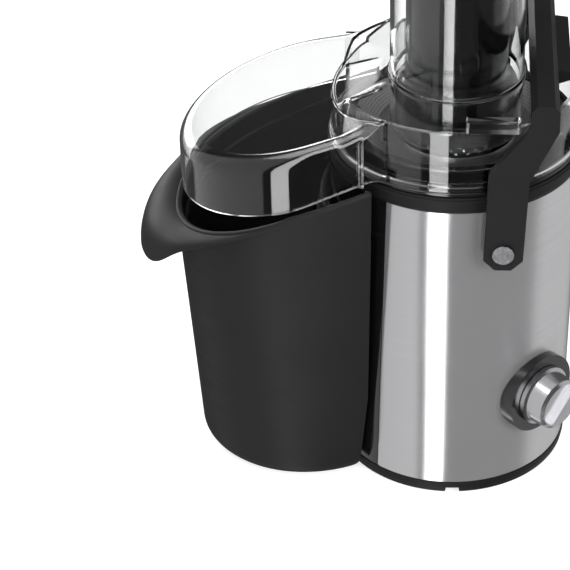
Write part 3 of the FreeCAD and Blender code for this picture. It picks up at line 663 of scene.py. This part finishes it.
def cover_net():
    """The round cover with its flange and the feed tube, as one closed shell."""
    roof = [TUBE_RADIUS + 4 + 4 * step for step in range(8)]
    return turned(
        rounded(
            [
                (LID_RADIUS - LID_WALL, LID_LOW),
                (LID_RADIUS + 1.2, LID_LOW, 0.4),
                (LID_RADIUS + 1.2, LID_LOW + 2.4, 0.6),
                (LID_RADIUS, LID_LOW + 3.6, 0.6),
                (LID_RADIUS, LID_HIGH, 2.2),
                *[(radius, LID_HIGH) for radius in roof[::-1]],
                (TUBE_RADIUS, LID_HIGH, 2.4),
                (TUBE_RADIUS, TUBE_HIGH, 0.9),
                (TUBE_BORE, TUBE_HIGH, 0.9),
                (TUBE_BORE, TUBE_LOW, 0.8),
                (TUBE_RADIUS, TUBE_LOW, 0.8),
                (TUBE_RADIUS, LID_HIGH - LID_WALL, 1.2),
                *[(radius, LID_HIGH - LID_WALL) for radius in roof],
                (LID_RADIUS - LID_WALL, LID_HIGH - LID_WALL, 1.6),
            ]
        ),
        192,
        change=ramped,
    )


def slab(low, high, ease=0.6):
    """A block with eased upright edges."""
    outline = oblong(low[:2], high[:2], ease, 3)
    return sheeted([[(x, y, z) for x, y in outline] for z in (low[2], high[2])], around=True, ends=True)


def carve(target, net):
    """Takes a block out of a piece for good."""
    tool = put("carving_tool", new_mesh("carving_tool", net))
    tool.location.x = AXIS_X
    bpy.context.view_layer.update()
    added = target.modifiers.new("Carve", "BOOLEAN")
    added.operation = "DIFFERENCE"
    added.solver = "EXACT"
    added.object = tool
    target.modifiers.move(len(target.modifiers) - 1, 0)
    with bpy.context.temp_override(object=target, active_object=target):
        bpy.ops.object.modifier_apply(modifier=added.name)
    bpy.data.objects.remove(tool)


class JUICER_OT_cover(bpy.types.Operator):
    """Builds the clear cover with its feed tube and the hood over the bin"""

    bl_idname = "juicer.cover"
    bl_label = "Clear cover"

    def execute(self, context):
        nodes = ("clear_cover", "feed_tube")
        cover = piece("cover_with_tube", cover_net(), "clear_plastic", "machine", nodes)
        carve(cover, slab(OUTLET_LOW, OUTLET_HIGH))
        hood = piece(
            "hood_shell",
            hood_net(),
            "clear_plastic",
            "machine",
            ("bin_hood",),
            extra=[
                ("SOLIDIFY", {"thickness": sizes().lid_wall, "offset": -1.0, "use_even_offset": True}),
                ("EDGE_SPLIT", {"split_angle": math.radians(50)}),
            ],
        )
        middle = hood.data.polygons[len(hood.data.polygons) // 2]
        if middle.normal.x > 0.1 and middle.center.x < -0.12:
            hood.data.flip_normals()
        near_rib = slab((-57.6, -71.2, 231), (-54.0, -68.4, 262), 0.9)
        far_rib = slab((-71.8, 68.6, 221), (-63.4, 71.0, 259.5), 0.9)
        piece("hood_ribs", merged(near_rib, far_rib), "clear_plastic", "machine")
        lugs = []
        for side in (-1, 1):
            low, high = sorted((side * 69.0, side * 77.2))
            lugs.append(slab((6, low, 273.8), (38, high, 280.5), 2.0))
        piece("cover_lugs", merged(*lugs), "clear_plastic", "machine")
        return {"FINISHED"}


# ---------------------------------------------------------------- pusher

SHANK = [
    (0, 240),
    (38, 240, 1.2),
    (38, 268, 2),
    (31.5, 273, 2.5),
    (31.5, 384),
    (28.5, 384),
    (28.5, 244),
    (0, 244),
]
CAP = [
    (0, 381),
    (42, 380.9, 0.6),
    (43, 382.5, 1),
    (43, 392, 3.5),
    (38, 396, 3),
    (30, 395.2, 4),
    (24, 393.4, 3),
    (0, 393.2),
]


class JUICER_OT_pusher(bpy.types.Operator):
    """Builds the food pusher and its cap"""

    bl_idname = "juicer.pusher"
    bl_label = "Food pusher"

    def execute(self, context):
        piece("pusher_shank", turned(rounded(SHANK), 128), "gloss_black", "pusher", ("food_pusher",))
        piece("pusher_top", turned(rounded(CAP, 6), 128), "gloss_black", "pusher", ("pusher_cap",))
        return {"FINISHED"}


# ---------------------------------------------------------------- pulp bin

BIN_CENTRE, BIN_LOW = -98.0, 0.8
RIM_MIDDLE, RIM_SLOPE = 211.8, 0.385
HOLLOW_RIM, FLOOR_MIDDLE = 189.0, -124.0
ARC_COLUMNS, FLAT_COLUMNS, HOLLOW_COLUMNS = 132, 4, 48
HANDLE_SPREAD, HANDLE_STEPS, HANDLE_WALL = 88.0, 120, 3.0


def bin_shape(height):
    """Reach to the far end, reach to the body's side, half width and squareness of the bin at a height."""
    return 68.5 + 0.0545 * height, 72.0 + 0.254 * height, 66.0 + 0.0655 * height, 2.0 + 0.00175 * height


def oval_point(angle, height, inset):
    """A point of the bin's squared oval, before the body's hollow is taken from it."""
    far, near, half, power = bin_shape(height)
    cosine, sine = math.cos(angle), math.sin(angle)
    reach = (near if cosine > 0 else far) - inset
    return (
        BIN_CENTRE + math.copysign(abs(cosine) ** (2 / power), cosine) * reach,
        math.copysign(abs(sine) ** (2 / power), sine) * (half - inset),
    )


@functools.lru_cache(maxsize=None)
def bin_corner(height, inset):
    """Where the oval meets the body: the angle there, the corner, and the start of the hollow."""
    edge = -54.0 + 4.5 * height / RIM_MIDDLE - inset
    gap = 81.0 + inset
    low, high = 0.0, math.pi / 2
    for _ in range(40):
        angle = (low + high) / 2
        x, y = oval_point(angle, height, inset)
        if x <= edge and math.hypot(x, y) >= gap:
            high = angle
        else:
            low = angle
    if x > edge - 0.01 and gap > abs(edge):
        return high, (x, y), (edge, min(y, math.sqrt(gap * gap - edge * edge)))
    return high, (x, y), (x, y)


def bin_spot(column, height, inset):
    """A point of the bin's outline: round the outside, along a flat, round the hollow, and back."""
    corner, (corner_x, corner_y), (gap_x, gap_y) = bin_corner(height, inset)
    if column <= ARC_COLUMNS:
        angle = -corner - (2 * math.pi - 2 * corner) * column / ARC_COLUMNS
        return oval_point(angle, height, inset)
    column -= ARC_COLUMNS
    if column <= FLAT_COLUMNS:
        share = column / FLAT_COLUMNS
        return corner_x + (gap_x - corner_x) * share, corner_y + (gap_y - corner_y) * share
    column -= FLAT_COLUMNS
    if column <= HOLLOW_COLUMNS:
        start = math.atan2(gap_y, -gap_x)
        angle = start - 2 * start * column / HOLLOW_COLUMNS
        gap = math.hypot(gap_x, gap_y)
        return -gap * math.cos(angle), gap * math.sin(angle)
    column -= HOLLOW_COLUMNS
    share = column / FLAT_COLUMNS
    return gap_x + (corner_x - gap_x) * share, -gap_y - (corner_y - gap_y) * share


def rim_height(across):
    return RIM_MIDDLE + RIM_SLOPE * (across - BIN_CENTRE)


def rim_of(column):
    """The height of the rim at a column of the outline."""
    height = RIM_MIDDLE
    for _ in range(8):
        height = rim_height(bin_spot(column, height, 0.0)[0])
    return height


def bin_net():
    """The bin as one shell: rounded foot, drafted wall, eased rim, ledge for the hood, and inside."""
    wall = sizes().bin_wall / MM
    foot = sizes().bin_foot_fillet / MM
    ledge = sizes().bin_ledge_depth / MM
    total = ARC_COLUMNS + 2 * FLAT_COLUMNS + HOLLOW_COLUMNS
    columns = [(column, rim_of(column)) for column in range(ARC_COLUMNS + 1)]
    low_from, low_to = ARC_COLUMNS + 0.9, total - 0.9
    columns.append((low_from, rim_of(ARC_COLUMNS)))
    columns.append((low_from + 0.02, HOLLOW_RIM))
    columns += [(column, HOLLOW_RIM) for column in range(ARC_COLUMNS + 1, total)]
    columns.append((low_to - 0.02, HOLLOW_RIM))
    columns.append((low_to, rim_of(0)))
    rings = []

    def ring(inset, height):
        rings.append([(*bin_spot(column, height, inset), height) for column, _ in columns])

    def upper(inset, drop, share=1.0, base=0.0):
        row = []
        for column, rim in columns:
            height = base + (rim - drop - base) * share
            row.append((*bin_spot(column, height, inset), height))
        rings.append(row)

    def floor(share, height):
        middle = Vector((FLOOR_MIDDLE, 0.0))
        spots = [middle.lerp(Vector(bin_spot(column, height, foot + 0.5)), share) for column, _ in columns]
        rings.append([(*spot, height) for spot in spots])

    for share in (0.02, 0.4, 0.75, 0.9):
        floor(share, BIN_LOW + 2.0)
    floor(0.92, BIN_LOW)
    for step in range(9):
        turn = math.radians(90 * step / 8)
        ring(foot * (1 - math.sin(turn)), BIN_LOW + foot * (1 - math.cos(turn)))
    base = BIN_LOW + foot
    for share in (0.1, 0.25, 0.4, 0.55, 0.7, 0.82, 0.92, 0.97):
        upper(0.0, 1.0, share, base)
    for inset, drop in ((0.0, 1.3), (0.1, 0.8), (0.4, 0.36), (0.9, 0.1), (1.6, 0.0), (2.4, 0.02)):
        upper(inset, drop)
    for inset, drop in ((3.2, 0.22), (3.8, 0.6), (4.1, 1.2), (4.2, 2.2)):
        upper(inset, drop)
    upper(4.2, ledge)
    upper(4.3, ledge + 0.5)
    upper(5.8, ledge + 0.8)
    upper(6.2, ledge + 1.3)
    upper(6.2, ledge + 4.0)
    upper(wall + 1.0, ledge + 9.0)
    for share in (0.85, 0.7, 0.5, 0.3, 0.15):
        upper(wall, ledge + 9.0, share, base)
    for step in range(1, 7):
        turn = math.radians(90 * step / 6)
        inset = wall + (foot - wall) * (1 - math.cos(turn)) + 0.2
        ring(inset, BIN_LOW + wall + (foot - wall) * (1 - math.sin(turn)))
    for share in (0.9, 0.6, 0.3, 0.02):
        floor(share, BIN_LOW + wall + 0.2)
    points, faces, uvs = sheeted(rings, around=True)
    width = len(columns)
    for first in (0, (len(rings) - 1) * width):
        ends = list(range(first, first + width))
        faces.append(tuple(ends))
        uvs.append(tuple((0.0, 0.0) for _ in ends))
    return points, faces, uvs


def rim_point(angle):
    """A point on the outside of the slanting rim, in a direction from the bin's middle."""
    height = RIM_MIDDLE
    for _ in range(8):
        x, y = oval_point(angle, height, 0.0)
        height = rim_height(x)
    return Vector((x, y, height))


def handle_net():
    """The handle lip: it curls out and down from the rim, and fades along both sides."""
    reach_most = sizes().handle_reach / MM
    drop_most = sizes().handle_drop / MM
    rows = []
    for step in range(HANDLE_STEPS + 1):
        away = HANDLE_SPREAD * (2 * step / HANDLE_STEPS - 1)
        share = max(0.0, math.cos(math.radians(away * 90 / (HANDLE_SPREAD + 0.5))))
        reach = 0.3 + (reach_most - 0.3) * share**1.5
        drop = 1.2 + (drop_most - 1.2) / (1 + (away / 37) ** 6)
        thick = min(HANDLE_WALL, 0.5 + reach * 0.3, drop * 0.6 + 0.2)
        turn = math.radians(180 - away)
        outward = Vector((math.cos(turn), math.sin(turn), 0))
        start = rim_point(turn) - outward * 1.2 - Vector((0, 0, 0.9))

        def spot(out, down):
            return tuple(start + outward * out + Vector((0, 0, -down)))

        row = [spot(0.0, thick), spot(0.0, 0.0)]
        for part in range(15):
            bend = math.radians(90 * part / 14)
            row.append(spot(1.2 + reach * math.sin(bend), drop * (1 - math.cos(bend)) ** 1.08))
        for part in range(1, 6):
            bend = math.radians(180 * part / 6)
            out = 1.2 + reach - thick / 2 * (1 - math.cos(bend))
            row.append(spot(out, drop + thick * 0.4 * math.sin(bend)))
        for part in range(14, -1, -1):
            bend = math.radians(90 * part / 14)
            out = 1.2 + max(0.0, reach - thick) * math.sin(bend)
            row.append(spot(out, thick + max(0.0, drop - thick) * (1 - math.cos(bend))))
        rows.append(row)
    return sheeted(rows, around=True, ends=True)


class JUICER_OT_bin(bpy.types.Operator):
    """Builds the pulp bin with its handle lip"""

    bl_idname = "juicer.bin"
    bl_label = "Pulp bin"

    def execute(self, context):
        net = merged(bin_net(), handle_net())
        piece("bin_with_handle", net, "satin_bin", "bin", ("pulp_bin",), sharp=50.0)
        return {"FINISHED"}


# ---------------------------------------------------------------- basket, arm, knob and inside pieces

BASKET_LOW, BASKET_HIGH = 230.0, 242.6
DISC_LOW, DISC_HIGH = 231.4, 233.0
TOOTH_LOW, TOOTH_HIGH = 232.9, 234.5
SIEVE = [
    (30, BASKET_LOW),
    (50, BASKET_LOW, 2),
    (65.4, 240.2, 0.6),
    (64.2, 240.8),
    (48.8, DISC_LOW, 2),
    (30, DISC_LOW),
]
RIM = [
    (62, 240.2, 0.5),
    (66.9, 239.4, 0.7),
    (67.9, 241, 0.8),
    (67.4, BASKET_HIGH, 0.8),
    (62, BASKET_HIGH, 0.9),
]
DISC = [
    (0, DISC_LOW),
    (37.5, DISC_LOW, 0.3),
    (37.5, DISC_HIGH, 0.3),
    (9, DISC_HIGH, 0.8),
    (6, 236, 1),
    (0, 236),
]


def grater_teeth():
    """Rings of small three-sided teeth on the disc, with more teeth in each wider ring."""
    sides = [(0, 2, 1), (0, 1, 3), (1, 2, 3), (2, 0, 3)]
    teeth = []
    for ring, radius in enumerate(range(13, 34, 4)):
        count = 9 + 4 * ring
        for tooth in range(count):
            angle = 2 * math.pi * (tooth + 0.37 * ring) / count
            x, y = radius * math.cos(angle), radius * math.sin(angle)
            edge = Vector((math.cos(angle + 0.5), math.sin(angle + 0.5)))
            corners = [
                (x - edge.x * 1.5, y - edge.y * 1.5, TOOTH_LOW),
                (x + edge.x * 1.5, y + edge.y * 1.5, TOOTH_LOW),
                (x + edge.y * 1.6, y - edge.x * 1.6, TOOTH_LOW),
                (x + edge.y * 0.2, y - edge.x * 0.2, TOOTH_HIGH),
            ]
            teeth.append((corners, sides, [((0, 0), (0, 1), (1, 1))] * 4))
    return teeth


class JUICER_OT_basket(bpy.types.Operator):
    """Builds the sieve basket with its rolled rim and the grating disc with its teeth"""

    bl_idname = "juicer.basket"
    bl_label = "Basket and disc"

    def execute(self, context):
        piece("sieve_wall", turned(rounded(SIEVE), 160), "basket_steel", "spinner", ("sieve_basket",))
        piece("basket_rim", turned(rounded(RIM), 160), "gloss_black", "spinner")
        grater = merged(turned(rounded(DISC), 96), *grater_teeth())
        piece("grater", grater, "bearing_steel", "spinner", ("grating_disc",))
        dress(("basket_hub", "drive_coupling"), "black_plastic")
        return {"FINISHED"}


class JUICER_OT_arm(bpy.types.Operator):
    """Finishes the locking arm, its grip, bosses and pins"""

    bl_idname = "juicer.arm"
    bl_label = "Locking arm"

    def execute(self, context):
        dress(("locking_arm",), "black_plastic")
        dress(("arm_grip", "pivot_bosses"), "gloss_black")
        dress(("pivot_pins",), "bearing_steel")
        soften("locking_arm", 0.0012)
        soften("arm_grip", 0.0008)
        soften("pivot_bosses", 0.0006)
        soften("pivot_pins", 0.0005)
        return {"FINISHED"}


class JUICER_OT_knob(bpy.types.Operator):
    """Finishes the control knob and its dial plate"""

    bl_idname = "juicer.knob"
    bl_label = "Control knob"

    def execute(self, context):
        dress(("dial_plate",), "gloss_black")
        dress(("control_knob",), "bearing_steel")
        soften("dial_plate", 0.0006)
        soften("control_knob", 0.0006)
        return {"FINISHED"}


class JUICER_OT_inside(bpy.types.Operator):
    """Finishes the housing, base, motor and electrics"""

    bl_idname = "juicer.inside"
    bl_label = "Housing and motor"

    def execute(self, context):
        dress(
            (
                "motor_housing",
                "base_plate",
                "lower_bracket",
                "upper_bracket",
                "brush_holders",
                "cooling_fan",
                "rotary_switch",
                "interlock_switch",
            ),
            "black_plastic",
        )
        dress(("shaft_seal", "bowl_seal", "cord_inlet"), "rubber")
        dress([f"rubber_foot_{index}" for index in (1, 2, 3, 4)], "rubber")
        dress([f"motor_mount_{index}" for index in (1, 2, 3, 4)], "rubber")
        dress(("stator_stack", "rotor_stack"), "iron")
        dress(("field_coils_lower", "field_coils_upper", "rotor_windings"), "copper")
        dress(("commutator",), "brass")
        dress(("carbon_brushes",), "carbon")
        dress(("lower_bearing", "upper_bearing", "motor_shaft"), "bearing_steel")
        dress(("knob_spindle", "plate_screws"), "bearing_steel")
        dress(("circuit_board",), "board_green")
        soften("cord_inlet", 0.0008)
        return {"FINISHED"}


# ---------------------------------------------------------------- stage

CAMERA_SPOT = (AXIS_X, -1.1772, 0.9351)
CAMERA_DOWN, CAMERA_TURN = 34.97, 2.14
LENS, LENS_SHIFT = 138.95, -0.1754
FLOOR_HALF, FLOOR_HIGH = 4000, -0.3
LAMPS = (("soft_right", (1.5, -1.3, 0.9), 34.0, 0.9), ("soft_top", (-0.5, -0.2, 1.7), 12.0, 1.0))
LAMP_AIM = (0, 0, 0.12)


def worked(tree, operation, *values):
    """A maths node over sockets and plain numbers."""
    made = add_node(tree, "ShaderNodeMath", operation=operation)
    for socket, value in zip(made.inputs, values):
        if isinstance(value, float):
            socket.default_value = value
        else:
            link(tree, value, socket)
    return made.outputs[0]


def window(tree, value, middle, half, soft, strength):
    """Strength inside a range of angles, nought outside, with soft sides."""
    off = worked(tree, "ABSOLUTE", worked(tree, "SUBTRACT", value, math.radians(middle)))
    low, high = math.radians(half - soft), math.radians(half + soft)
    return worked(tree, "MULTIPLY", ranged(tree, off, 1.0, 0.0, low, high, "SMOOTHSTEP"), strength)


def chosen(tree, share, first, second, kind):
    """Leads one shader or the other to the output."""
    choose = add_node(tree, "ShaderNodeMixShader")
    output = add_node(tree, kind)
    link(tree, share, choose.inputs["Fac"])
    link(tree, first.outputs[0], choose.inputs[1])
    link(tree, second.outputs[0], choose.inputs[2])
    link(tree, choose.outputs[0], output.inputs["Surface"])


def floor_finish():
    """White floor that polished surfaces don't mirror."""
    material = bpy.data.materials.new("floor_white")
    material.use_nodes = True
    tree = material.node_tree
    tree.nodes.clear()
    glow = add_node(tree, "ShaderNodeEmission", Strength=0.72)
    matte = add_node(tree, "ShaderNodeBsdfDiffuse", Color=(0.5, 0.5, 0.5, 1))
    both = add_node(tree, "ShaderNodeAddShader")
    link(tree, glow.outputs[0], both.inputs[0])
    link(tree, matte.outputs[0], both.inputs[1])
    hidden = add_node(tree, "ShaderNodeBsdfTransparent")
    ray = add_node(tree, "ShaderNodeLightPath")
    mirrored = worked(tree, "GREATER_THAN", ray.outputs["Glossy Depth"], 0.5)
    chosen(tree, mirrored, both, hidden, "ShaderNodeOutputMaterial")
    return material


def add_floor():
    half = FLOOR_HALF
    corners = [(x, y, FLOOR_HIGH) for x, y in ((-half, -half), (half, -half), (half, half), (-half, half))]
    mesh = new_mesh("floor", (corners, [(0, 1, 2, 3)], [((0, 0), (1, 0), (1, 1), (0, 1))]), False)
    floor = put("floor", mesh)
    floor.visible_glossy = False
    floor.data.materials.append(floor_finish())


def studio_light(tree, around, up):
    """The light by direction: a narrow bright window, wide dim ones, one low behind, and one overhead."""
    key = window(tree, around, middle=-14.6, half=8.5, soft=0.6, strength=5.2)
    side = window(tree, around, middle=-75.5, half=44.0, soft=1.5, strength=0.58)
    rear = window(tree, around, middle=118.0, half=34.0, soft=8.0, strength=0.5)
    behind = window(tree, around, middle=-147.0, half=20.0, soft=5.0, strength=5.5)
    behind = worked(tree, "MULTIPLY", behind, ranged(tree, up, 0.0, 1.0, -0.10, 0.02))
    behind = worked(tree, "MULTIPLY", behind, ranged(tree, up, 1.0, 0.0, 0.22, 0.34))
    overhead = worked(tree, "MULTIPLY", ranged(tree, up, 0.0, 1.0, 0.80, 0.95), 1.7)
    total = worked(tree, "ADD", key, 0.09)
    for light in (side, rear, behind, overhead):
        total = worked(tree, "ADD", total, light)
    return total


def studio_world():
    """The studio: the light by direction, and plain white where the camera sees past the machine."""
    world = bpy.data.worlds.new("studio")
    world.use_nodes = True
    tree = world.node_tree
    tree.nodes.clear()
    parts = add_node(tree, "ShaderNodeSeparateXYZ")
    link(tree, add_node(tree, "ShaderNodeTexCoord").outputs["Generated"], parts.inputs["Vector"])
    up = parts.outputs["Z"]
    back = worked(tree, "MULTIPLY", parts.outputs["Y"], -1.0)
    around = worked(tree, "ARCTAN2", parts.outputs["X"], back)
    light = add_node(tree, "ShaderNodeBackground", Strength=1.0)
    link(tree, studio_light(tree, around, up), light.inputs["Color"])
    white = add_node(tree, "ShaderNodeBackground", Color=(1, 1, 1, 1), Strength=1.0)
    ray = add_node(tree, "ShaderNodeLightPath")
    bounces = worked(tree, "ADD", ray.outputs["Diffuse Depth"], ray.outputs["Glossy Depth"])
    direct = worked(tree, "LESS_THAN", bounces, 0.5)
    downward = worked(tree, "LESS_THAN", up, 0.08)
    straight = worked(tree, "MULTIPLY", ray.outputs["Is Transmission Ray"], direct)
    through = worked(tree, "MULTIPLY", straight, downward)
    seen = worked(tree, "MAXIMUM", ray.outputs["Is Camera Ray"], through)
    chosen(tree, seen, light, white, "ShaderNodeOutputWorld")
    return world


def add_lamps():
    """Two soft lamps, of which only the top one shows in polished surfaces."""
    for name, spot, energy, wide in LAMPS:
        lamp = bpy.data.lights.new(name, "AREA")
        lamp.energy = energy
        lamp.size = wide
        source = put(name, lamp)
        source.location = spot
        source.rotation_euler = (Vector(LAMP_AIM) - Vector(spot)).to_track_quat("-Z", "Y").to_euler()
        source.visible_glossy = name == "soft_top"
        source.visible_transmission = False


def add_camera():
    lens = bpy.data.cameras.new("camera")
    lens.lens = LENS
    lens.sensor_width = 36.0
    lens.sensor_fit = "HORIZONTAL"
    lens.shift_x = LENS_SHIFT
    lens.clip_start, lens.clip_end = 0.05, 40.0
    camera = put("camera", lens)
    camera.location = CAMERA_SPOT
    camera.rotation_euler = (math.radians(90 - CAMERA_DOWN), 0.0, math.radians(CAMERA_TURN))
    return camera


class JUICER_OT_stage(bpy.types.Operator):
    """Sets up the floor, the studio light and the camera"""

    bl_idname = "juicer.stage"
    bl_label = "Stage"

    def execute(self, context):
        scene = context.scene
        scene.view_settings.view_transform = "Standard"
        scene.view_settings.look = "None"
        add_floor()
        scene.world = studio_world()
        add_lamps()
        scene.camera = add_camera()
        return {"FINISHED"}


class JUICER_OT_finishes(bpy.types.Operator):
    """Makes the plastics, metals and clear moulding that the pieces take"""

    bl_idname = "juicer.finishes"
    bl_label = "Finishes"

    def execute(self, context):
        make_finishes()
        return {"FINISHED"}


STEPS = (
    JUICER_OT_finishes,
    JUICER_OT_casing,
    JUICER_OT_collar,
    JUICER_OT_cover,
    JUICER_OT_pusher,
    JUICER_OT_bin,
    JUICER_OT_basket,
    JUICER_OT_arm,
    JUICER_OT_knob,
    JUICER_OT_inside,
    JUICER_OT_stage,
)


class JUICER_PT_panel(bpy.types.Panel):
    """Lists the juicer's pieces"""

    bl_idname = "JUICER_PT_panel"
    bl_label = "Juicer"
    bl_space_type = "VIEW_3D"
    bl_region_type = "UI"
    bl_category = "Juicer"

    def draw(self, context):
        layout = self.layout
        for group in (context.scene.juicer_sizes, context.scene.juicer_colours):
            for name in group.bl_rna.properties.keys():
                if name not in ("rna_type", "name"):
                    layout.prop(group, name)
        for step in STEPS:
            layout.operator(step.bl_idname)


CLASSES = (JuicerSizes, JuicerColours, *STEPS, JUICER_PT_panel)


def register():
    for made in CLASSES:
        bpy.utils.register_class(made)
    bpy.types.Scene.juicer_sizes = bpy.props.PointerProperty(type=JuicerSizes)
    bpy.types.Scene.juicer_colours = bpy.props.PointerProperty(type=JuicerColours)


def unregister():
    del bpy.types.Scene.juicer_colours
    del bpy.types.Scene.juicer_sizes
    for made in reversed(CLASSES):
        bpy.utils.unregister_class(made)


def main():
    register()
    for step in STEPS:
        group, name = step.bl_idname.split(".")
        getattr(getattr(bpy.ops, group), name)()
    bpy.context.view_layer.update()


if __name__ == "__main__":
    main()
